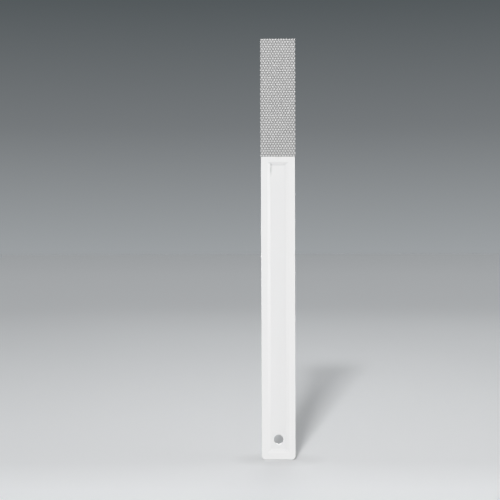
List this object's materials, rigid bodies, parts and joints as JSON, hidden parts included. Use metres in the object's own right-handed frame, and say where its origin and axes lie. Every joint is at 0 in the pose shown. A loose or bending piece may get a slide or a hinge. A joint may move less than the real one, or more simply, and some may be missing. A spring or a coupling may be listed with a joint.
{
  "type": "sanding stick",
  "caption": "Slim flat hand sanding stick: an I-section plastic handle with a hang hole and a patch of dotted abrasive cloth on the front of its head.",
  "frame": {"origin": "middle of the flat lower end face, halfway through the handle's thickness", "axes": "+Z along the stick towards the abrasive head, -Y out of the abrasive face, +X across the stick, to the right seen from the front"},
  "size_m": [0.0196, 0.0045, 0.235],
  "materials": {
    "white_plastic": "satin moulded white",
    "adhesive": "translucent film",
    "backing_cloth": "fine plain weave",
    "grey_resin": "matt",
    "abrasive_dots": "gritty matt plated nickel"
  },
  "bodies": {
    "root": {"handle": "white_plastic", "adhesive_film": "adhesive", "backing_cloth": "backing_cloth", "resin_coat": "grey_resin", "abrasive_dots": "abrasive_dots"}
  },
  "joints": []
}
